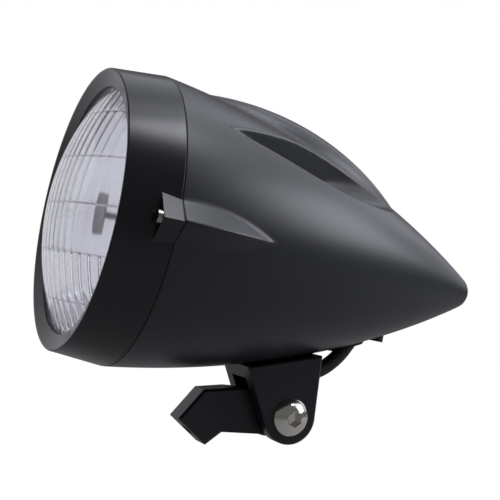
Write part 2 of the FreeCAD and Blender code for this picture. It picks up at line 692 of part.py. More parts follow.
def make_cable_grommet():
    """Rubber bush that follows the shell's skin, with a flange inside and outside."""
    radius = LOOM_RADIUS + GROMMET_WALL
    back, front = loom_points[0], loom_points[2]
    skin = bullet(0.0, RING_LENGTH)
    inside = bullet(-SHELL_WALL, RING_LENGTH)
    over = bullet(GROMMET_STAND, RING_LENGTH).cut(bullet(-SHELL_WALL - GROMMET_STAND, RING_LENGTH))
    bush = bar(back, front, radius).common(over)
    flange = bar(back, front, radius + GROMMET_FLANGE).common(over)
    body = bush.fuse(flange.cut(skin)).fuse(flange.common(inside))
    return body.cut(loom_tube(LOOM_RADIUS + GROMMET_BORE_GAP)).removeSplitter()


def make_drain_plug():
    """Plug in the lowest hole of the shell, with a slotted head."""
    out = Vector(0, DRAIN_Y, -shell_radius(DRAIN_Y) - DRAIN_HEAD)
    stem_top = Vector(0, DRAIN_Y, -shell_radius(DRAIN_Y) + SHELL_WALL + DRAIN_TAIL)
    stem = bar(stem_top, out, DRAIN_RADIUS)
    head = bar(Vector(0, DRAIN_Y, 0), out, DRAIN_HEAD_RADIUS).cut(bullet(0.0, RING_LENGTH))
    return stem.fuse(head).removeSplitter()


def tangent_to_circle(corner_y, corner_z, radius, side):
    """Point where the line from a corner touches a circle about the origin, on the given side."""
    distance = math.hypot(corner_y, corner_z)
    heading = math.atan2(corner_z, corner_y) + side * math.acos(radius / distance)
    return radius * math.cos(heading), radius * math.sin(heading)


def make_pivot_bracket():
    """Clevis: a web under the shell and two tapered ears with round ends."""
    rear = tangent_to_circle(EAR_HALF_WIDTH, EAR_DROP, EAR_END_RADIUS, -1)
    front = (-rear[0], rear[1])
    corners = [Vector(-half_bracket, y, z) for y, z in
               [(-EAR_HALF_WIDTH, EAR_DROP), (EAR_HALF_WIDTH, EAR_DROP), rear]]
    low = Vector(-half_bracket, 0, -EAR_END_RADIUS)
    tail = Vector(-half_bracket, *front)
    edges = [Part.makeLine(corners[0], corners[1]), Part.makeLine(corners[1], corners[2]),
             Part.Arc(corners[2], low, tail).toShape(), Part.makeLine(tail, corners[0])]
    body = Part.Face(Part.Wire(edges)).extrude(X_AXIS * (2 * half_bracket))
    outer_rims = [edge for edge in body.Edges if abs(abs(edge.CenterOfMass.x) - half_bracket) < 1e-6
                  and edge.BoundBox.XLength < 1e-6]
    body = body.makeChamfer(BRACKET_EDGE, outer_rims)
    slot_floor = -EAR_END_RADIUS - CUT_CLEAR
    web_floor = EAR_DROP - WEB_THICKNESS
    slot = Part.makeBox(2 * half_gap, 4 * EAR_HALF_WIDTH, web_floor - slot_floor,
                        Vector(-half_gap, -2 * EAR_HALF_WIDTH, slot_floor))
    body = body.cut(slot)
    reach = half_bracket + CUT_CLEAR
    body = body.cut(bar(Vector(-reach, 0, 0), Vector(reach, 0, 0), PIVOT_RADIUS + PIVOT_HOLE_GAP))
    for along in screw_stations():
        bottom, top = Vector(0, along, web_floor - CUT_CLEAR), Vector(0, along, EAR_DROP + CUT_CLEAR)
        body = body.cut(bar(bottom, top, BRACKET_SCREW_RADIUS))
    return set_bracket(body)


def make_bracket_washers():
    washers = []
    for along in screw_stations():
        ring = bracket_bore(along, spot_face, screw_head, BRACKET_WASHER_RADIUS)
        hole = bracket_bore(along, EAR_DROP, screw_head_top, BRACKET_SCREW_RADIUS + FIT_GAP)
        washers.append(ring.cut(hole))
    return Part.makeCompound(washers)


def make_bracket_screws():
    """Socket screws from inside the shell into the bracket's web."""
    screws = []
    for along in screw_stations():
        foot, neck = Vector(0, along, EAR_DROP - WEB_THICKNESS), Vector(0, along, screw_head)
        top = Vector(0, along, screw_head_top)
        screw = bar(foot, neck, BRACKET_SCREW_RADIUS).fuse(bar(neck, top, BRACKET_SCREW_HEAD_RADIUS))
        screw = screw.cut(hexagon(BRACKET_SCREW_KEY, BRACKET_SCREW_KEY_DEPTH, top, -Z_AXIS))
        screws.append(set_bracket(screw))
    return Part.makeCompound(screws)


def make_pivot_bolt():
    """Button-head bolt through both ears and the arm."""
    head_x = half_bracket
    end_x = -(half_bracket + NUT_WASHER + NUT_HEIGHT + BOLT_PAST_NUT)
    body = bar(Vector(end_x, 0, 0), Vector(head_x, 0, 0), PIVOT_RADIUS)
    under, seat = Vector(head_x, 0, 0), Vector(head_x, 0, PIVOT_HEAD_RADIUS)
    rim = Vector(head_x + PIVOT_HEAD_RIM, 0, PIVOT_HEAD_RADIUS)
    crown = Vector(head_x + PIVOT_HEAD, 0, PIVOT_CROWN_RADIUS)
    top = Vector(head_x + PIVOT_HEAD, 0, 0)
    slant = crown - rim
    bulge = (rim + crown) * 0.5 + Vector(-slant.z, 0, slant.x).normalize() * PIVOT_DOME_SAG
    outline = [Part.makeLine(under, seat), Part.makeLine(seat, rim), Part.Arc(rim, bulge, crown).toShape(),
               Part.makeLine(crown, top), Part.makeLine(top, under)]
    body = body.fuse(Part.Face(Part.Wire(outline)).revolve(ORIGIN, X_AXIS, 360))
    body = body.cut(hexagon(PIVOT_KEY, PIVOT_KEY_DEPTH, top, -X_AXIS))
    return set_bracket(body.removeSplitter())


def pivot_ring(start_x, length, inner, outer):
    """Ring about the pivot axis, in the bracket's frame."""
    ring = Part.makeCylinder(outer, length, Vector(start_x, 0, 0), X_AXIS)
    return ring.cut(Part.makeCylinder(inner, length, Vector(start_x, 0, 0), X_AXIS))


def make_side_washers():
    """Thin washers between the ears and the arm."""
    inner = PIVOT_RADIUS + PIVOT_HOLE_GAP
    ring = pivot_ring(half_gap - SIDE_WASHER, SIDE_WASHER, inner, SIDE_WASHER_RADIUS)
    return set_bracket(Part.makeCompound(both_sides(ring)))


def make_nut_washer():
    start = -half_bracket - NUT_WASHER
    return set_bracket(pivot_ring(start, NUT_WASHER, PIVOT_RADIUS + PIVOT_HOLE_GAP, NUT_WASHER_RADIUS))


def make_pivot_nut():
    """Locking nut with a round collar, on the side away from the bolt's head."""
    start = Vector(-half_bracket - NUT_WASHER, 0, 0)
    hex_length = NUT_HEIGHT - NUT_COLLAR
    body = hexagon(NUT_FLATS, hex_length, start, -X_AXIS)
    body = body.fuse(Part.makeCylinder(NUT_COLLAR_RADIUS, NUT_COLLAR, start - X_AXIS * hex_length, -X_AXIS))
    body = body.cut(Part.makeCylinder(PIVOT_RADIUS, NUT_HEIGHT, start, -X_AXIS))
    return set_bracket(body)


def make_mount_arm():
    """Forged arm: a slanted seat with a threaded hole, a heel, and a round end on the pivot."""
    diagonal = 1 / math.sqrt(2)
    tip = (-ARM_SEAT_LENGTH / 2 * diagonal, ARM_SEAT_LENGTH / 2 * diagonal)
    toe = (-tip[0], -tip[1])
    brow = (tip[0] + ARM_BROW_LENGTH * diagonal, tip[1] + ARM_BROW_LENGTH * diagonal)
    shoulder = (ARM_SHOULDER_Y, brow[1])
    heel = (ARM_HEEL_Y, ARM_HEEL_Z)
    top = tangent_to_circle(shoulder[0] - ARM_PIVOT_Y, shoulder[1] - ARM_PIVOT_Z, ARM_END_RADIUS, -1)
    low = tangent_to_circle(heel[0] - ARM_PIVOT_Y, heel[1] - ARM_PIVOT_Z, ARM_END_RADIUS, 1)
    outline = [tip, brow, shoulder, (top[0] + ARM_PIVOT_Y, top[1] + ARM_PIVOT_Z)]
    start_x = -ARM_WIDTH / 2
    upper = [Vector(start_x, y, z) for y, z in outline]
    underside = [(low[0] + ARM_PIVOT_Y, low[1] + ARM_PIVOT_Z), heel, toe, tip]
    lower = [Vector(start_x, y, z) for y, z in underside]
    edges = [Part.makeLine(a, b) for a, b in zip(upper, upper[1:])]
    end = Vector(start_x, ARM_PIVOT_Y + ARM_END_RADIUS, ARM_PIVOT_Z)
    edges.append(Part.Arc(upper[-1], end, lower[0]).toShape())
    edges += [Part.makeLine(a, b) for a, b in zip(lower, lower[1:])]
    body = Part.Face(Part.Wire(edges)).extrude(X_AXIS * ARM_WIDTH)
    rims = [edge for edge in body.Edges
            if edge.BoundBox.XLength < 1e-6 and edge.CenterOfMass.y < ARM_SHOULDER_Y]
    body = body.makeChamfer(ARM_EDGE, rims)
    inward = Vector(0, diagonal, diagonal)
    body = body.cut(bar(-inward, inward * MOUNT_HOLE_DEPTH, MOUNT_HOLE_RADIUS))
    reach = X_AXIS * ARM_WIDTH
    bore = PIVOT_RADIUS + PIVOT_RUNNING_GAP
    return body.cut(bar(pivot_in_part - reach, pivot_in_part + reach, bore))


lamp_pieces = {
    "lamp_shell": make_shell(),
    "trim_ring": make_trim_ring(),
    "ring_screws": make_ring_screws(),
    "lens": make_lens(),
    "lens_gasket": make_lens_gasket(),
    "reflector": make_reflector(),
    "retaining_ring": make_retaining_ring(),
    "bulb_base": make_bulb_base(),
    "bulb_glass": make_bulb_glass(),
    "bulb_shade": make_bulb_shade(),
    "bulb_clip": make_bulb_clip(),
    "bulb_boot": make_bulb_boot(),
    "bulb_plug": make_bulb_plug(),
    "bulb_leads": make_bulb_leads(),
    "cable_grommet": make_cable_grommet(),
    "cable_sleeve": loom_tube(LOOM_RADIUS),
    "cable_joint": make_cable_joint(),
    "drain_plug": make_drain_plug(),
    "pivot_bracket": make_pivot_bracket(),
    "bracket_washers": make_bracket_washers(),
    "bracket_screws": make_bracket_screws(),
    "pivot_bolt": make_pivot_bolt(),
    "side_washers": make_side_washers(),
    "nut_washer": make_nut_washer(),
    "pivot_nut": make_pivot_nut(),
}

os.makedirs("parts", exist_ok=True)
for name, shape in lamp_pieces.items():
    set_lamp(shape).exportStep("parts/" + name + ".step")
make_mount_arm().exportStep("parts/mount_arm.step")
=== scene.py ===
import json
import math

import bpy
import numpy as np
from mathutils import Matrix, Vector


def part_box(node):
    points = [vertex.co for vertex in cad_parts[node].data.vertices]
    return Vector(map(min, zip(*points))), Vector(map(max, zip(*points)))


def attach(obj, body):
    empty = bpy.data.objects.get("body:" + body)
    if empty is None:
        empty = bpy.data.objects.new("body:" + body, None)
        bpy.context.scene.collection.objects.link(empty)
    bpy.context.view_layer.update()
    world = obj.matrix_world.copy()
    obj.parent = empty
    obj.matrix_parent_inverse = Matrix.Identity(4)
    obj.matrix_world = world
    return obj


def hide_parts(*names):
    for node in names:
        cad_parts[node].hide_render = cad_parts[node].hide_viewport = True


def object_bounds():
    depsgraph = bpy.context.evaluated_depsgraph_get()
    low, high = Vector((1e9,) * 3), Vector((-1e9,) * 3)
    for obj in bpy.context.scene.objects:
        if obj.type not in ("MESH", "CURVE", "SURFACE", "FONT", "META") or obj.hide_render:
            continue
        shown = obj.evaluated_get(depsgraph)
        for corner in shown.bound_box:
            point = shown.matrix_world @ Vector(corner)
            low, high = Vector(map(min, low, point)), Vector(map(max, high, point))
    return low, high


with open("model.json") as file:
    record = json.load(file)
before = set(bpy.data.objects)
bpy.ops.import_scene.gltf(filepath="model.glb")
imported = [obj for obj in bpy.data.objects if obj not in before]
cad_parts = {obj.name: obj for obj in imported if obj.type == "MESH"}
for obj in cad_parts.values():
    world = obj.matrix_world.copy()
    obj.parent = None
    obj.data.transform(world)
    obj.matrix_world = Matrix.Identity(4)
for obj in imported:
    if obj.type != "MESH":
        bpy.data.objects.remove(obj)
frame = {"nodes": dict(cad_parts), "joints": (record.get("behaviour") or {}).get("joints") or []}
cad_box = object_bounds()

# Lamp shell: a hollow aluminium casting shaped like a bullet, with a spine along its top, a scoop each
# side of the spine and a spear along each flank. It is powder-coated and carries the rest of the lamp.
# Sizes are millimetres on the lamp's own axis: x to the near side, y back from the ring's front, z up.
MM = 0.001
RING_LENGTH = 31.0
SEAM_RADIUS = 84.4
SEAM_GAP = 0.6
SHELL_SIDE_RADIUS = 560.0
SHELL_SEAM_SLOPE = math.radians(5.8)
NOSE_RADIUS = 11.4
SHELL_WALL = 4.0
SPIGOT_RADIUS = 79.65
SPIGOT_LENGTH = 7.0
SPINE_FRONT = np.array([0.0, 55.0, 81.0])
SPINE_REAR = np.array([0.0, 200.0, 42.0])
SPINE_HEIGHT = 15.9
SPINE_BLEND = 3.0
SPEAR_RIDGE = 93.6
SPEAR_BEND = (88.8, 60.0)
SPEAR_TIP_Y = 89.5
SPEAR_SLOPE = 0.9
SPEAR_DEPTH = 16.0
SPEAR_BLEND = 1.2

# The scoops are sunk deeper than the solid's, behind a steep wall, to show as dark wedges by the spine.
SCOOP_TIP = np.array([56.8, 58.7, 57.6])
SCOOP_MID = np.array([41.6, 137.0, 59.4])
SCOOP_END_Y = 212.0
SCOOP_RADIUS = 22.8
SCOOP_EASE = 8.0
SCOOP_SINK = 10.0
SCOOP_LEAN = math.radians(-12)
SCOOP_TWIST = math.radians(14)
SCOOP_OPEN = math.radians(-30)
SCOOP_CORNER = 0.9
SCOOP_LIP = 1.4

# Spokes of the mesh, as the first angle of a band in degrees and its count: closest along the scoops' lips.
SPOKE_BANDS = [(0, 66), (58, 84), (86, 10), (94, 84), (122, 66), (180, 146), (360, 0)]
SIDE_STATIONS = 184
NOSE_STATIONS = 14
INNER_STEP = 6
LOWEST_CUT = -24.0
HIGHEST_RISE = 16.0
HALVINGS = 40
NORMAL_STEP = 0.02

# The bracket's flat seat, the pivot's drop below it and the tilt set the lamp into the part's frame.
SEAT_Y = 137.0
SEAT_FLAT = 0.6
EAR_DROP = 33.5
LENS_UP = math.radians(12.2)

flank_y = RING_LENGTH - SHELL_SIDE_RADIUS * math.sin(SHELL_SEAM_SLOPE)
flank_r = SEAM_RADIUS - SHELL_SIDE_RADIUS * math.cos(SHELL_SEAM_SLOPE)
nose_y = flank_y + math.sqrt((SHELL_SIDE_RADIUS - NOSE_RADIUS) ** 2 - flank_r ** 2)
nose_slope = math.atan2(nose_y - flank_y, -flank_r)


def shell_radius(y):
    """Radius of the plain bullet at a station of the lamp's axis."""
    return flank_r + np.sqrt(np.maximum(SHELL_SIDE_RADIUS ** 2 - (y - flank_y) ** 2, 0.0))


seat_slope = math.asin((SEAT_Y - flank_y) / SHELL_SIDE_RADIUS)
seat_out = Vector((0, math.sin(seat_slope), -math.cos(seat_slope)))
pivot_on_lamp = Vector((0, SEAT_Y, -shell_radius(SEAT_Y))) + seat_out * (EAR_DROP - SEAT_FLAT)
pivot = Vector(frame["joints"][0]["pos_m"])
lamp_place = (Matrix.Translation(pivot) @ Matrix.Rotation(-LENS_UP, 4, "X") @ Matrix.Scale(MM, 4)
              @ Matrix.Translation(-pivot_on_lamp))


def blend_min(first, second, width):
    """Lower of two fields, rounded over a width where they cross."""
    near = np.maximum(width - np.abs(first - second), 0.0) / width
    return np.minimum(first, second) - near * near * width / 4


def bullet_field(p):
    """Distance from the plain bullet, negative inside: an arc along the side and a ball at the nose."""
    r = np.hypot(p[..., 0], p[..., 2])
    side = np.hypot(p[..., 1] - flank_y, r - flank_r) - SHELL_SIDE_RADIUS
    nose = np.hypot(p[..., 1] - nose_y, r) - NOSE_RADIUS
    behind = (p[..., 1] - nose_y) * -flank_r > r * (nose_y - flank_y)
    return np.where(behind, nose, side)


def spine_field(p):
    """Distance from the spindle along the top line."""
    chord = SPINE_REAR - SPINE_FRONT
    half = np.linalg.norm(chord) / 2
    along = chord / (2 * half)
    arc = (half ** 2 + SPINE_HEIGHT ** 2) / (2 * SPINE_HEIGHT)
    from_middle = p - (SPINE_FRONT + SPINE_REAR) / 2
    t = from_middle @ along
    across = np.linalg.norm(from_middle - t[..., None] * along, axis=-1)
    return across - (np.sqrt(np.maximum(arc ** 2 - t ** 2, 0.0)) - (arc - SPINE_HEIGHT))


def scoop_field(p):
    """Distance from the cut of each scoop: a tapered round between its lips, sunk behind steep walls."""
    x = np.abs(p[..., 0])
    y = p[..., 1]
    z = p[..., 2]
    share = (y - SCOOP_TIP[1]) / (SCOOP_MID[1] - SCOOP_TIP[1])
    centre_x = SCOOP_TIP[0] + share * (SCOOP_MID[0] - SCOOP_TIP[0])
    centre_z = SCOOP_TIP[2] + share * (SCOOP_MID[2] - SCOOP_TIP[2])
    radius = blend_min(SCOOP_RADIUS * share, np.full_like(share, SCOOP_RADIUS), SCOOP_EASE)
    out = np.hypot(centre_x, centre_z)
    bullet_r = shell_radius(y)
    chord = (bullet_r ** 2 - radius ** 2 + out ** 2) / (2 * out)
    half = np.sqrt(np.maximum(bullet_r ** 2 - chord ** 2, 0.0))
    along = np.clip((y - SCOOP_TIP[1]) / (SCOOP_END_Y - SCOOP_TIP[1]), 0.0, 1.0)
    sunk = out - SCOOP_SINK * np.sin(math.pi * along) ** 2
    across = np.hypot(x - centre_x * sunk / out, z - centre_z * sunk / out)
    spine_lip_x = (centre_x * chord - centre_z * half) / out
    spine_lip_z = (centre_z * chord + centre_x * half) / out
    flank_lip_x = (centre_x * chord + centre_z * half) / out
    flank_lip_z = (centre_z * chord - centre_x * half) / out
    lean = SCOOP_LEAN + SCOOP_TWIST * along
    spine_wall = (spine_lip_x - x) * np.cos(lean) + (spine_lip_z - z) * np.sin(lean)
    opening = np.arctan2(flank_lip_z, flank_lip_x) + SCOOP_OPEN
    flank_wall = (x - flank_lip_x) * np.sin(opening) - (z - flank_lip_z) * np.cos(opening)
    cut = -blend_min(np.hypot(half, sunk - chord) - across, -spine_wall, SCOOP_CORNER)
    return np.where(share > 0, np.maximum(cut, flank_wall), np.hypot(across, y - SCOOP_TIP[1]))


def arc_through(first, second, third):
    """Centre and radius of the circle through three points of a plane."""
    first, second, third = np.array([first, second, third])
    chords = 2 * np.array([second - first, third - first])
    sums = np.array([second @ second - first @ first, third @ third - first @ first])
    centre = np.linalg.solve(chords, sums)
    return centre, math.dist(centre, first)


spear_centre, spear_radius = arc_through(
    (SPEAR_RIDGE, RING_LENGTH), SPEAR_BEND, (float(shell_radius(SPEAR_TIP_Y)), SPEAR_TIP_Y))
spear_side = math.copysign(1.0, SPEAR_BEND[0] - spear_centre[0])


def spear_field(p):
    """Height over the gable whose ridge falls in an arc from the seam to its tip."""
    x = np.abs(p[..., 0])
    z = np.abs(p[..., 2])
    reach = np.maximum(spear_radius ** 2 - (p[..., 1] - spear_centre[1]) ** 2, 0.0)
    ridge = spear_centre[0] + spear_side * np.sqrt(reach)
    facet = (x + SPEAR_SLOPE * z - ridge) / math.hypot(1.0, SPEAR_SLOPE)
    return np.maximum(facet, z - SPEAR_DEPTH)


def shell_field(p):
    """The whole casting's outside."""
    body = blend_min(bullet_field(p), spine_field(p), SPINE_BLEND)
    body = blend_min(body, spear_field(p), SPEAR_BLEND)
    return -blend_min(-body, scoop_field(p), SCOOP_LIP)


def shell_normals(p):
    """Outward normals of the casting at points of its skin."""
    rises = [shell_field(p + NORMAL_STEP * axis) - shell_field(p - NORMAL_STEP * axis) for axis in np.eye(3)]
    uphill = np.stack(rises, axis=-1)
    return uphill / np.linalg.norm(uphill, axis=-1, keepdims=True)


def ring_faces(first, second, count):
    """Faces between two closed rings of equal counts, each given by the index of its first point."""
    return [(first + k, second + k, second + (k + 1) % count, first + (k + 1) % count) for k in range(count)]


def new_piece(name, points, faces, place, normals=None):
    """Smooth mesh object from points in millimetres, set into the part's frame."""
    mesh = bpy.data.meshes.new(name)
    mesh.from_pydata([place @ Vector(point) for point in points], [], faces)
    mesh.validate()
    for face in mesh.polygons:
        face.use_smooth = True
    if normals is not None:
        turned = place.to_3x3().normalized()
        facing = [(turned @ Vector(normal)).normalized() for normal in normals]
        mesh.normals_split_custom_set_from_vertices(facing)
    piece = bpy.data.objects.new(name, mesh)
    bpy.context.scene.collection.objects.link(piece)
    return piece


edge_slope = math.asin((RING_LENGTH + SEAM_GAP - flank_y) / SHELL_SIDE_RADIUS)
side_slopes = np.linspace(edge_slope, nose_slope, SIDE_STATIONS)
nose_slopes = np.linspace(nose_slope, math.pi / 2, NOSE_STATIONS + 1)[1:-1]
slopes = np.concatenate([side_slopes, nose_slopes])
stations = slopes.size
on_side = np.arange(stations) < SIDE_STATIONS
arc_radius = np.where(on_side, SHELL_SIDE_RADIUS, NOSE_RADIUS)
base_y = np.where(on_side, flank_y, nose_y) + arc_radius * np.sin(slopes)
base_r = np.where(on_side, flank_r, 0.0) + arc_radius * np.cos(slopes)
bands = [np.linspace(start, end, count, endpoint=False)
         for (start, count), (end, _) in zip(SPOKE_BANDS, SPOKE_BANDS[1:])]
turns = np.radians(np.concatenate(bands))
spokes = turns.size
radial = np.stack([np.cos(turns), np.zeros(spokes), np.sin(turns)], axis=-1)
backwards = np.array([0.0, 1.0, 0.0])
base = base_r[:, None, None] * radial + base_y[:, None, None] * backwards
outward = np.cos(slopes)[:, None, None] * radial + np.sin(slopes)[:, None, None] * backwards

# Each point of the skin is searched for along the plain bullet's normal, by halving.
low = np.full(base.shape[:2], LOWEST_CUT)
high = np.full(base.shape[:2], HIGHEST_RISE)
for _ in range(HALVINGS):
    middle = (low + high) / 2
    inside = shell_field(base + middle[..., None] * outward) < 0
    low = np.where(inside, middle, low)
    high = np.where(inside, high, middle)
height = ((low + high) / 2)[..., None]
skin = base + height * outward
skin_normals = shell_normals(skin)
lining = (base + (height - SHELL_WALL) * outward)[::INNER_STEP, ::INNER_STEP]
lining_normals = -skin_normals[::INNER_STEP, ::INNER_STEP]

points = list(skin.reshape(-1, 3))
normals = list(skin_normals.reshape(-1, 3))
faces = []
for row in range(stations - 1):
    faces += ring_faces(row * spokes, (row + 1) * spokes, spokes)
last = (stations - 1) * spokes
tip = len(points)
points.append((nose_y + NOSE_RADIUS) * backwards)
normals.append(backwards)
faces += [(last + spoke, tip, last + (spoke + 1) % spokes) for spoke in range(spokes)]

# From the seam's edge the mesh steps in to the spigot, runs along it and comes back as the lining.
spigot_y = RING_LENGTH - SPIGOT_LENGTH
forwards = np.broadcast_to(-backwards, radial.shape)
edge = 0
for y, radius, facing in [(RING_LENGTH, SPIGOT_RADIUS, forwards), (spigot_y, SPIGOT_RADIUS, radial),
                          (spigot_y, SPIGOT_RADIUS - SHELL_WALL, -radial)]:
    start = len(points)
    points += list(radius * radial + y * backwards)
    normals += list(facing)
    faces += ring_faces(start, edge, spokes)
    edge = start
inner_rows, inner_spokes = lining.shape[:2]
inner = len(points)
points += list(lining.reshape(-1, 3))
normals += list(lining_normals.reshape(-1, 3))
for spoke in range(inner_spokes):
    fine = [edge + (spoke * INNER_STEP + k) % spokes for k in range(INNER_STEP + 1)]
    faces.append((*fine, inner + (spoke + 1) % inner_spokes, inner + spoke))
for row in range(inner_rows - 1):
    start = inner + row * inner_spokes
    faces += ring_faces(start + inner_spokes, start, inner_spokes)
inner_end = inner + (inner_rows - 1) * inner_spokes
faces.append(tuple(range(inner_end, inner_end + inner_spokes)))
shell = new_piece("shell_casting", points, faces, lamp_place, normals)


def linear(code):
    """Linear colour of an sRGB hex value."""
    channels = [int(code[i:i + 2], 16) / 255 for i in (1, 3, 5)]
    return [c / 12.92 if c <= 0.04045 else ((c + 0.055) / 1.055) ** 2.4 for c in channels] + [1.0]


def add_node(tree, kind, settings=None, links=None):
    """Adds a node, sets its properties or sockets, and links its inputs."""
    node = tree.nodes.new(kind)
    for name, value in (settings or {}).items():
        if isinstance(name, str) and hasattr(node, name):
            setattr(node, name, value)
        else:
            node.inputs[name].default_value = value
    for name, socket in (links or {}).items():
        tree.links.new(socket, node.inputs[name])
    return node


def new_material(name):
    """Empty node material; returns the material, its tree and its output node."""
    material = bpy.data.materials.new(name)
    material.use_nodes = True
    material.node_tree.nodes.clear()
    return material, material.node_tree, add_node(material.node_tree, "ShaderNodeOutputMaterial")


def mottled(tree, place, colour, pale, size_mm, detail):
    """Noise of a real size, and a tint between two colours that follows it."""
    noise = add_node(tree, "ShaderNodeTexNoise", {"Scale": 1 / (size_mm * MM), "Detail": detail},
                     {"Vector": place}).outputs["Fac"]
    tint = add_node(tree, "ShaderNodeValToRGB", links={"Fac": noise})
    for stop, code in zip(tint.color_ramp.elements, (colour, pale)):
        stop.color = linear(code)
    return noise, tint.outputs["Color"]


# Real sizes: a peel of about half a millimetre shows as grain close up, and as softness in the photo's frame.
COAT_CLOUD_MM = 40.0
COAT_GLOSS_SPREAD = 0.04
COAT_PEEL_MM = 0.02


def black_coat(name, colour, pale, roughness, grain_mm, relief, edge_mm=0.0):
    """Black polymer coat: its orange peel softens what it mirrors, and its thickness rounds sharp edges."""
    material, tree, output = new_material(name)
    place = add_node(tree, "ShaderNodeTexCoord").outputs["Object"]
    _, tint = mottled(tree, place, colour, pale, COAT_CLOUD_MM, detail=2.0)
    grain = add_node(tree, "ShaderNodeTexNoise", {"Scale": 1 / (grain_mm * MM), "Detail": 3.0},
                     {"Vector": place}).outputs["Fac"]
    gloss = add_node(tree, "ShaderNodeMapRange", {"To Min": roughness - COAT_GLOSS_SPREAD,
                                                  "To Max": roughness + COAT_GLOSS_SPREAD},
                     {"Value": grain})
    peel = add_node(tree, "ShaderNodeBump", {"Strength": relief, "Distance": COAT_PEEL_MM * MM},
                    {"Height": grain})
    if edge_mm:
        rounded = add_node(tree, "ShaderNodeBevel", {"samples": 6, "Radius": edge_mm * MM})
        tree.links.new(rounded.outputs["Normal"], peel.inputs["Normal"])
    shader = add_node(tree, "ShaderNodeBsdfPrincipled", {"IOR": 1.5},
                      {"Base Color": tint, "Roughness": gloss.outputs["Result"],
                       "Normal": peel.outputs["Normal"]})
    tree.links.new(shader.outputs["BSDF"], output.inputs["Surface"])
    return material


def paint(piece, material):
    """Gives a piece one material."""
    piece.data.materials.clear()
    piece.data.materials.append(material)


# Satin powder coat, cured in an oven: a blue-black that shows lamps as broad soft glows without edges.
paint(shell, black_coat("satin_black_powder_coat", "#1b1d24", "#1f2128",
                        roughness=0.36, grain_mm=0.5, relief=0.25))
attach(shell, "lamp")
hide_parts("lamp_shell")

# Trim ring: turned from aluminium bar, with a lip over the lens and a gable each side for its screw.
# It slips over the shell's spigot. Sprayed enamel is smoother than the shell's coat, so the ring mirrors
# lamps in narrower bands with clearer ends.
paint(frame["nodes"]["trim_ring"], black_coat("semi_gloss_black_enamel", "#11131a", "#15171e",
                                              roughness=0.25, grain_mm=0.4, relief=0.12, edge_mm=0.5))

# Ring screws: two small socket screws of stainless steel, through the ring's gables into the shell.
# They are cold-headed, and tumbled smooth rather than polished.
# Tool marks are drawn some tenths of a millimetre apart, coarser than real ones, which would not show.
METAL_GLOSS_SPREAD = 0.25
TOOL_MARK_MM = 0.01


def metal(name, colour, pale, roughness, blotch_mm, marks_mm=0.0):
    """Bare or plated metal: a slightly cloudy tint, and fine tool marks that spread its reflections."""
    material, tree, output = new_material(name)
    place = add_node(tree, "ShaderNodeTexCoord").outputs["Object"]
    cloud, tint = mottled(tree, place, colour, pale, blotch_mm, detail=4.0)
    gloss = add_node(tree, "ShaderNodeMapRange", {"To Min": roughness * (1 - METAL_GLOSS_SPREAD),
                                                  "To Max": roughness * (1 + METAL_GLOSS_SPREAD)},
                     {"Value": cloud})
    shader = add_node(tree, "ShaderNodeBsdfPrincipled", {"Metallic": 1.0},
                      {"Base Color": tint, "Roughness": gloss.outputs["Result"]})
    if marks_mm:
        marks = add_node(tree, "ShaderNodeTexNoise", {"Scale": 1 / (marks_mm * MM), "Detail": 2.0},
                         {"Vector": place})
        bump = add_node(tree, "ShaderNodeBump", {"Strength": 0.15, "Distance": TOOL_MARK_MM * MM},
                        {"Height": marks.outputs["Fac"]})
        tree.links.new(bump.outputs["Normal"], shader.inputs["Normal"])
    tree.links.new(shader.outputs["BSDF"], output.inputs["Surface"])
    return material


# Tumbled stainless steel: a soft grey shine with one bright edge round a dark socket.
paint(frame["nodes"]["ring_screws"], metal("tumbled_stainless_steel", "#8e8c88", "#a5a29d",
                                           roughness=0.28, blotch_mm=2.0, marks_mm=0.2))

# Lens: pressed clear glass with a plain dome outside, upright flutes inside and level ribs between its
# zones, each zone with its own depth of flute. A flange round it is clamped under the ring's lip.
LENS_OPENING_RADIUS = 71.0
LENS_SLACK = 0.15
LENS_FLANGE_RADIUS = 75.6
LENS_FRONT = 5.6
LENS_BACK = 8.6
LENS_BULGE = 19.0
LENS_GLASS = 3.6
FLUTE_PITCH = 8.0
FLUTE_STEPS = 8
FLUTE_DEPTHS = {-3: 0.9, -2: 0.9, -1: 0.12, 0: 0.12, 1: 0.22, 2: 0.22}
ZONE_PITCH = 26.0
ZONE_SHIFT = 1.5
RIB_HEIGHT = 0.15
RIB_HALF_WIDTH = 0.6
RIB_CREST = 0.05
FLUTE_CREASE = math.radians(35)

# The glass is meshed on an upright grid, whose outermost points are pulled in to the flange's edge.
COLUMN_STEP = FLUTE_PITCH / FLUTE_STEPS
ROW_STEP = 2.0
RIB_CLEAR = 1.2
GRID_REACH = 76.0
RIM_PULL = 0.6

dome_edge = LENS_OPENING_RADIUS - LENS_SLACK
dome_radius = (dome_edge ** 2 + LENS_BULGE ** 2) / (2 * LENS_BULGE)
dome_y = LENS_FRONT - LENS_BULGE + dome_radius
lowest_zone = min(FLUTE_DEPTHS)
highest_zone = max(FLUTE_DEPTHS)
zone_lines = [ZONE_SHIFT + ZONE_PITCH * zone for zone in range(lowest_zone + 1, highest_zone + 1)]


def from_zone_line(z):
    """Distance of a level from the nearest line between two zones."""
    return min(abs(z - line) for line in zone_lines)


def lens_front_y(r):
    """Outside of the glass at a distance from the axis."""
    dome = dome_y - np.sqrt(dome_radius ** 2 - np.minimum(r, dome_edge) ** 2)
    return np.where(r < dome_edge, dome, LENS_FRONT)


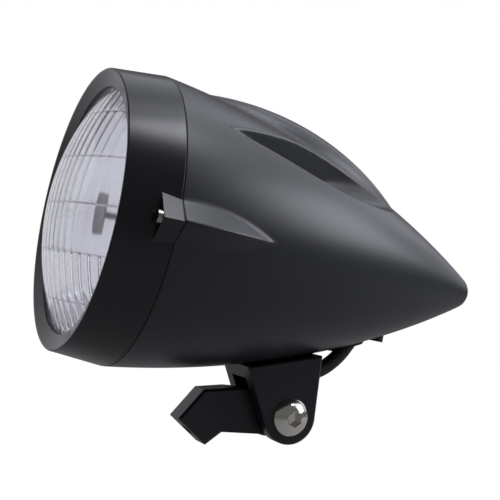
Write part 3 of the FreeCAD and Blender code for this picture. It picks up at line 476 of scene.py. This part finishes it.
def lens_back_y(x, z):
    """Inside of the glass: the dome's inner face with the flutes and ribs on it, up to the flange."""
    plain = dome_y - np.sqrt((dome_radius - LENS_GLASS) ** 2 - x ** 2 - z ** 2)
    zone = np.floor((z - ZONE_SHIFT) / ZONE_PITCH).astype(int)
    depth = np.vectorize(FLUTE_DEPTHS.get)(np.clip(zone, lowest_zone, highest_zone))
    across = (x / FLUTE_PITCH) % 1.0
    flute = depth * (1 - (2 * across - 1) ** 2)
    rib = sum(RIB_HEIGHT * np.clip(1 - np.abs(z - line) / RIB_HALF_WIDTH, 0, 1) for line in zone_lines)
    return np.minimum(plain + flute + rib, LENS_BACK)


columns = np.arange(-GRID_REACH, GRID_REACH + COLUMN_STEP / 2, COLUMN_STEP)
even_levels = np.arange(-GRID_REACH, GRID_REACH + ROW_STEP / 2, ROW_STEP)
levels = [z for z in even_levels if from_zone_line(z) > RIB_CLEAR]
for line in zone_lines:
    levels += [line + step for step in (-RIB_HALF_WIDTH, -RIB_CREST, 0.0, RIB_CREST, RIB_HALF_WIDTH)]
spot = {}
flat = []
for row, z in enumerate(sorted(levels)):
    for column, x in enumerate(columns):
        r = math.hypot(x, z)
        if r < LENS_FLANGE_RADIUS + RIM_PULL:
            pull = LENS_FLANGE_RADIUS / max(r, LENS_FLANGE_RADIUS)
            spot[column, row] = len(flat)
            flat.append((x * pull, z * pull))
flat_x, flat_z = np.array(flat).T
front_y = lens_front_y(np.hypot(flat_x, flat_z))
back_y = lens_back_y(flat_x, flat_z)
points = [*zip(flat_x, front_y, flat_z), *zip(flat_x, back_y, flat_z)]
count = len(flat)
faces = []
rim = {}
for column, row in spot:
    cell = [(column, row), (column + 1, row), (column + 1, row + 1), (column, row + 1)]
    corners = [spot.get(corner) for corner in cell]
    if None in corners:
        continue
    faces.append(tuple(corners))
    faces.append(tuple(corner + count for corner in reversed(corners)))
    for start, end in zip(corners, corners[1:] + corners[:1]):
        if (end, start) in rim:
            del rim[end, start]
        else:
            rim[start, end] = True
faces += [(end, start, start + count, end + count) for start, end in rim]
lens = new_piece("lens_glass", points, faces, lamp_place)
lens.data.set_sharp_from_angle(angle=FLUTE_CREASE)


def glass(name, colour, roughness, index):
    """Clear glass: its roughness is the blur of what shows through it."""
    material, tree, output = new_material(name)
    shader = add_node(tree, "ShaderNodeBsdfPrincipled", {"Base Color": linear(colour), "Roughness": roughness,
                                                         "IOR": index, "Transmission Weight": 1.0})
    tree.links.new(shader.outputs["BSDF"], output.inputs["Surface"])
    return material


# Pressed glass: fire-polished and clear outside, slightly blurred by the die's skin on the flutes, and
# frosted on the ribs, which the die leaves rough, so that pale lines part the zones.
paint(lens, glass("polished_clear_glass", "#f3f3f8", roughness=0.02, index=1.5))
lens.data.materials.append(glass("pressed_glass_flutes", "#f3f3f8", roughness=0.14, index=1.5))
lens.data.materials.append(glass("frosted_zone_lines", "#ffffff", roughness=0.5, index=1.5))
for face in lens.data.polygons:
    on_back = min(face.vertices) >= count
    level = np.mean([points[corner][2] for corner in face.vertices])
    face.material_index = int(on_back) + int(on_back and from_zone_line(level) < RIB_HALF_WIDTH)
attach(lens, "lamp")
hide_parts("lens")

# Lens gasket: a flat ring of silicone rubber between the ring's lip and the lens flange.
# It is moulded in one piece and held only by being clamped there.
# The grain of a mould is drawn at 0.4 mm or more, coarser than real, to show at all.
MOULD_GRAIN_MM = 0.03


def rubber(name, colour, pale, roughness, grain_mm):
    """Moulded rubber, plastic or thick enamel: matt, with a fine grain in tint and height."""
    material, tree, output = new_material(name)
    place = add_node(tree, "ShaderNodeTexCoord").outputs["Object"]
    grain, tint = mottled(tree, place, colour, pale, grain_mm, detail=4.0)
    bump = add_node(tree, "ShaderNodeBump", {"Strength": 0.3, "Distance": MOULD_GRAIN_MM * MM},
                    {"Height": grain})
    shader = add_node(tree, "ShaderNodeBsdfPrincipled", {"Roughness": roughness, "IOR": 1.5},
                      {"Base Color": tint, "Normal": bump.outputs["Normal"]})
    tree.links.new(shader.outputs["BSDF"], output.inputs["Surface"])
    return material


# Grey silicone: matt and pale enough that the rim of the glass doesn't go dark in front of it.
paint(frame["nodes"]["lens_gasket"], rubber("moulded_grey_silicone", "#85858a", "#8d8d92",
                                            roughness=0.62, grain_mm=0.4))

# Reflector: a bowl pressed from steel sheet, lacquered and plated with aluminium in a vacuum. Its rim is
# clamped behind the lens. The plating mirrors the room in front and gives the glass its pale grey look.
paint(frame["nodes"]["reflector"], metal("vacuum_plated_aluminium", "#d2d2d8", "#dedee4",
                                         roughness=0.10, blotch_mm=12.0))

# Retaining ring, bulb cap and bulb clip: steel pressings and bent wire. The ring holds lens and reflector in
# the trim ring, and the clip presses the bulb's cap to the reflector. Bright zinc plating gives them a
# slightly cloudy, bluish shine.
zinc = metal("bright_zinc_plate", "#b4b8bd", "#cfd3d6", roughness=0.3, blotch_mm=4.0, marks_mm=0.5)
for name in ("retaining_ring", "bulb_base", "bulb_clip"):
    paint(frame["nodes"][name], zinc)

# Bulb: a tube of quartz glass, melted shut to a round tip and held in the metal cap.
# Quartz is clear and almost without a tint, so the tube shows only by its edges and glints.
paint(frame["nodes"]["bulb_glass"], glass("clear_quartz_glass", "#f6f6f4", roughness=0.04, index=1.46))

# Bulb shade: a small cup drawn from steel sheet, in front of the bulb, on two wire legs from the bulb's cap.
# It is shallower and further forward than the solid, because it shows as a small dark disc behind the glass.
SHADE_RADIUS = 12.0
SHADE_FRONT = 13.0
SHADE_BACK = 15.2
SHADE_SHEET = 1.0
SHADE_ROUND = 1.4
SHADE_PIP_RADIUS = 1.0
SHADE_SPOKES = 48
ROUND_STEPS = 6
LEG_RADIUS = 1.1
LEG_BACK = 62.0
LEG_SPOKES = 12
SHADE_CREASE = math.radians(40)


def ring_skin(rings):
    """Points and faces of a skin through rings of equal counts, closed at both ends."""
    size = len(rings[0])
    skin_points = [point for ring in rings for point in ring]
    skin_faces = [tuple(range(size)), tuple(reversed(range(len(skin_points) - size, len(skin_points))))]
    for row in range(len(rings) - 1):
        skin_faces += ring_faces(row * size, (row + 1) * size, size)
    return skin_points, skin_faces


def lathe(outline, size):
    """Points and faces of an outline of (radius, y) turned round the lamp's axis."""
    angles = [2 * math.pi * k / size for k in range(size)]
    circle = [(math.cos(angle), math.sin(angle)) for angle in angles]
    return ring_skin([[(radius * x, y, radius * z) for x, z in circle] for radius, y in outline])


bends = [math.pi / 2 * step / ROUND_STEPS for step in range(ROUND_STEPS + 1)]
cup = [(SHADE_RADIUS - SHADE_ROUND * (1 - math.sin(bend)), SHADE_FRONT + SHADE_ROUND * (1 - math.cos(bend)))
       for bend in bends]
cup += [(SHADE_RADIUS, SHADE_BACK), (SHADE_RADIUS - SHADE_SHEET, SHADE_BACK),
        (SHADE_RADIUS - SHADE_SHEET, SHADE_FRONT + SHADE_ROUND),
        (SHADE_PIP_RADIUS, SHADE_FRONT + SHADE_SHEET)]
leg = [(LEG_RADIUS, SHADE_FRONT + SHADE_ROUND), (LEG_RADIUS, LEG_BACK)]
points, faces = lathe(cup, SHADE_SPOKES)
leg_points, leg_faces = lathe(leg, LEG_SPOKES)
for leg_x in (-SHADE_RADIUS, SHADE_RADIUS):
    faces += [tuple(len(points) + corner for corner in face) for face in leg_faces]
    points += [(leg_x + x, y, z) for x, y, z in leg_points]
shade = new_piece("shade_cup", points, faces, lamp_place)
shade.data.set_sharp_from_angle(angle=SHADE_CREASE)

# Stove enamel: a thick baked paint, an even mid grey with hardly any shine against the bright bowl.
paint(shade, rubber("grey_stove_enamel", "#4c4b52", "#58575e", roughness=0.5, grain_mm=1.0))
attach(shade, "lamp")
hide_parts("bulb_shade")

# Bulb boot: a moulded rubber cover, stretched over the reflector's throat to keep water off the bulb.
# Black rubber is matt and shows only a dull sheen on its rounded edges.
black_rubber = rubber("moulded_black_rubber", "#0f0f10", "#171718", roughness=0.62, grain_mm=0.4)
paint(frame["nodes"]["bulb_boot"], black_rubber)

# Bulb plug and leads: a moulded nylon plug pushed onto the bulb's tabs, with three insulated copper leads.
# Nylon has a faint satin sheen, and the soft PVC round the leads is a little glossier.
paint(frame["nodes"]["bulb_plug"], rubber("moulded_nylon", "#1e1e20", "#29292b",
                                          roughness=0.5, grain_mm=0.6))
paint(frame["nodes"]["bulb_leads"], rubber("soft_pvc_insulation", "#151516", "#1d1d1f",
                                           roughness=0.45, grain_mm=0.5))

# Cable: an extruded PVC sleeve over the leads. It leaves the shell's underside through a rubber grommet
# and ends in a round in-line connector of nylon under the bracket. All three are black and nearly matt.
paint(frame["nodes"]["cable_grommet"], black_rubber)
paint(frame["nodes"]["cable_sleeve"], rubber("matt_pvc_sleeve", "#0c0d0e", "#121314",
                                             roughness=0.5, grain_mm=0.8))
paint(frame["nodes"]["cable_joint"], rubber("moulded_black_nylon", "#121213", "#1a1a1c",
                                            roughness=0.5, grain_mm=0.6))

# Drain plug: a moulded rubber bung, pressed into a hole at the rear of the shell's underside.
# It is the same matt black rubber as the boot and the grommet.
paint(frame["nodes"]["drain_plug"], black_rubber)

# Pivot bracket: a clevis milled from steel bar, held to the shell's flat seat by two screws from inside.
# It has a powder coat like the shell's, a little darker, which rounds the milled edges to thin glints.
paint(frame["nodes"]["pivot_bracket"], black_coat("satin_black_powder_coat_on_bar", "#16181f", "#1a1c23",
                                                  roughness=0.34, grain_mm=0.5, relief=0.3, edge_mm=0.6))

# Bracket screws and washers: steel socket screws with flat washers, inside the shell.
# They have the same bright zinc plating as the bulb's clip.
for name in ("bracket_washers", "bracket_screws"):
    paint(frame["nodes"][name], zinc)

# Pivot bolt: a half-inch button-head bolt of stainless steel through both ears and the arm, cold-headed
# with a hexagon socket. Its head is domed right up to the socket, where the solid has a flat crown.
BOLT_HEAD_RADIUS = 11.1
BOLT_HEAD = 6.2
BOLT_RIM = 1.2
BOLT_SHANK_RADIUS = 6.35
BOLT_POINT = 0.8
BOLT_SPOKES = 96
BOLT_CREASE = math.radians(30)
KEY_FLATS = 7.94
KEY_DEPTH = 4.4
KEY_BEVEL = 0.35
KEY_SIDES = 6
DOME_STEPS = 16

bolt_low, bolt_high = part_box("pivot_bolt")
bolt_tip = bolt_low[0] / MM
head_seat = bolt_high[0] / MM - BOLT_HEAD
crown_radius = KEY_FLATS / 2
head_sphere = ((crown_radius ** 2 + BOLT_HEAD ** 2 - BOLT_HEAD_RADIUS ** 2 - BOLT_RIM ** 2)
               / (2 * (BOLT_HEAD - BOLT_RIM)))
head_sphere_radius = math.hypot(BOLT_HEAD_RADIUS, BOLT_RIM - head_sphere)
bolt_turns = [2 * math.pi * spoke / BOLT_SPOKES for spoke in range(BOLT_SPOKES)]
half_side = math.pi / KEY_SIDES
key_radii = [crown_radius / math.cos((turn + half_side) % (2 * half_side) - half_side) for turn in bolt_turns]


def bolt_ring(stations_x, radii):
    """Ring of points round the bolt's axis."""
    return [(x, radius * math.cos(turn), radius * math.sin(turn))
            for x, radius, turn in zip(stations_x, radii, bolt_turns)]


def head_x(radius):
    """Station of the domed head at a distance from the axis."""
    return head_seat + head_sphere + math.sqrt(head_sphere_radius ** 2 - radius ** 2)


socket_floor = head_seat + BOLT_HEAD - KEY_DEPTH
socket_edge = [head_x(radius + KEY_BEVEL) - KEY_BEVEL for radius in key_radii]
bolt_rings = [bolt_ring([socket_floor] * BOLT_SPOKES, key_radii), bolt_ring(socket_edge, key_radii)]
for step in range(DOME_STEPS + 1):
    outer = step / DOME_STEPS
    radii = [(radius + KEY_BEVEL) * (1 - outer) + BOLT_HEAD_RADIUS * outer for radius in key_radii]
    bolt_rings.append(bolt_ring([head_x(radius) for radius in radii], radii))
for x, radius in [(head_seat, BOLT_HEAD_RADIUS), (head_seat, BOLT_SHANK_RADIUS),
                  (bolt_tip + BOLT_POINT, BOLT_SHANK_RADIUS), (bolt_tip, BOLT_SHANK_RADIUS - BOLT_POINT)]:
    bolt_rings.append(bolt_ring([x] * BOLT_SPOKES, [radius] * BOLT_SPOKES))
points, faces = ring_skin(bolt_rings)
bolt_place = Matrix.Translation((0, pivot.y, pivot.z)) @ Matrix.Scale(MM, 4)
bolt = new_piece("button_head_bolt", points, faces, bolt_place)
bolt.data.set_sharp_from_angle(angle=BOLT_CREASE)

# Polished stainless steel: a warm grey mirror that shows lamps, room and floor in separate patches.
stainless = metal("polished_stainless_steel", "#cfcbc4", "#e4e1db",
                  roughness=0.12, blotch_mm=3.0, marks_mm=0.3)
paint(bolt, stainless)
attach(bolt, "lamp")
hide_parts("pivot_bolt")

# Washers and lock nut: thin washers each side of the arm, and a nut with its washer on the bolt's far end.
# They are stainless steel like the bolt, stamped or cut from bar, and share its polish.
for name in ("side_washers", "nut_washer", "pivot_nut"):
    paint(frame["nodes"][name], stainless)

# Mount arm: a forged steel bar with a slanted seat for the fork and a round end on the pivot.
# It has the bracket's powder coat over a forged skin, which is a little rougher and breaks up glints.
paint(frame["nodes"]["mount_arm"], black_coat("satin_black_powder_coat_on_forging", "#16181f", "#1b1d24",
                                              roughness=0.36, grain_mm=0.5, relief=0.5, edge_mm=0.6))

# Studio: matt paper well below the held lamp, and a plain surround. The camera sees both as white, straight
# or through glass, and the coat and the bolt mirror them dimly. Two large softboxes stand over the far side
# and the tail, two small lamps over and behind the near side, and two dim cards at the tail and the far side.
FLOOR_DROP = 0.14
FLOOR_SIZE = 12.0
FLOOR_PAPER = "#909090"
FLOOR_WHITE = 0.95
FLOOR_MIRRORED = 0.10
WHITE_STRENGTH = 1.05
WORLD_FILL = 0.12
WORLD_MIRRORED = 0.14
LAMP_TINT = "#f5f7ff"
LAMP_AIM = (0, 0.05, 0.1)


def seen_white(node_tree):
    """Light path's outputs, and the share of rays that come from the camera, straight or through glass."""
    paths = add_node(node_tree, "ShaderNodeLightPath").outputs
    seen = add_node(node_tree, "ShaderNodeMath", {"operation": "MAXIMUM"},
                    {0: paths["Is Camera Ray"], 1: paths["Is Transmission Ray"]})
    return paths, seen.outputs[0]


bpy.ops.mesh.primitive_plane_add(size=FLOOR_SIZE, location=(0, 0, cad_box[0][2] - FLOOR_DROP))
floor = bpy.context.object
floor.name = "studio_floor"

# Matt paper: its own grey keeps the light that comes up from it low, and it takes the lamp's soft shadow.
floor_paper, floor_tree, floor_output = new_material("matt_studio_paper")
floor_paths, floor_seen = seen_white(floor_tree)
shown = add_node(floor_tree, "ShaderNodeMath", {"operation": "MULTIPLY", 1: FLOOR_WHITE}, {0: floor_seen})
lit = add_node(floor_tree, "ShaderNodeMath", {"operation": "MULTIPLY_ADD", 1: FLOOR_MIRRORED},
               {0: floor_paths["Is Glossy Ray"], 2: shown.outputs[0]})
paper = add_node(floor_tree, "ShaderNodeBsdfDiffuse", {"Color": linear(FLOOR_PAPER)})
white = add_node(floor_tree, "ShaderNodeEmission", {"Strength": WHITE_STRENGTH})
floor_mix = add_node(floor_tree, "ShaderNodeMixShader", None,
                     {0: lit.outputs[0], 1: paper.outputs["BSDF"], 2: white.outputs["Emission"]})
floor_tree.links.new(floor_mix.outputs["Shader"], floor_output.inputs["Surface"])
paint(floor, floor_paper)

world = bpy.data.worlds.new("studio")
bpy.context.scene.world = world
world.use_nodes = True
world_tree = world.node_tree
world_tree.nodes.clear()
world_paths, world_seen = seen_white(world_tree)
mirrored = add_node(world_tree, "ShaderNodeMapRange", {"To Min": WORLD_FILL, "To Max": WORLD_MIRRORED},
                    {"Value": world_paths["Is Glossy Ray"]})
strength = add_node(world_tree, "ShaderNodeMath", {"operation": "MAXIMUM"},
                    {0: mirrored.outputs[0], 1: world_seen})
surround = add_node(world_tree, "ShaderNodeBackground", {"Color": linear("#ffffff")},
                    {"Strength": strength.outputs[0]})
add_node(world_tree, "ShaderNodeOutputWorld", None, {"Surface": surround.outputs["Background"]})


def softbox(name, place, size, radiance, aim=LAMP_AIM):
    """Rectangular soft lamp at a place, facing a point, with an even brightness over its face."""
    lamp = bpy.data.lights.new(name, "AREA")
    lamp.shape = "RECTANGLE"
    lamp.size, lamp.size_y = size
    lamp.energy = radiance * math.pi * size[0] * size[1]
    lamp.color = linear(LAMP_TINT)[:3]
    light = bpy.data.objects.new(name, lamp)
    light.location = place
    light.rotation_euler = (Vector(aim) - Vector(place)).to_track_quat("-Z", "Y").to_euler()
    bpy.context.scene.collection.objects.link(light)


softbox("tail_softbox", (-0.36, 1.28, 1.16), size=(2.2, 1.2), radiance=1.25, aim=(-0.97, 0.63, 0.36))
softbox("top_softbox", (-0.55, 0.35, 1.25), size=(1.2, 1.2), radiance=0.85)
softbox("high_lamp", (0.37, 0.46, 1.06), size=(0.4, 0.4), radiance=7.5)
softbox("low_lamp", (0.38, 1.00, 0.44), size=(0.55, 0.45), radiance=6.0)
softbox("tail_card", (-0.40, 1.29, 0.45), size=(0.8, 0.7), radiance=0.7)
softbox("far_wall", (-1.40, -0.46, 0.25), size=(1.6, 1.2), radiance=0.5)

# Camera: at the photo's viewing angle, low on the near side and in front of the bolt, fitted to the outlines
# of ring, shell and bracket. Nothing is out of focus.
CAMERA_PLACE = Vector((0.63584, -0.23424, 0.12877))
CAMERA_LOOK = Vector((-0.91758, 0.39607, -0.03417))
CAMERA_LENS = 83.35
CAMERA_SENSOR = 36.0

camera = bpy.data.objects.new("camera", bpy.data.cameras.new("camera"))
camera.data.sensor_width = CAMERA_SENSOR
camera.data.lens = CAMERA_LENS
camera.location = CAMERA_PLACE
camera.rotation_euler = CAMERA_LOOK.to_track_quat("-Z", "Y").to_euler()
bpy.context.scene.collection.objects.link(camera)
bpy.context.scene.camera = camera
bpy.context.scene.view_settings.view_transform = "Standard"
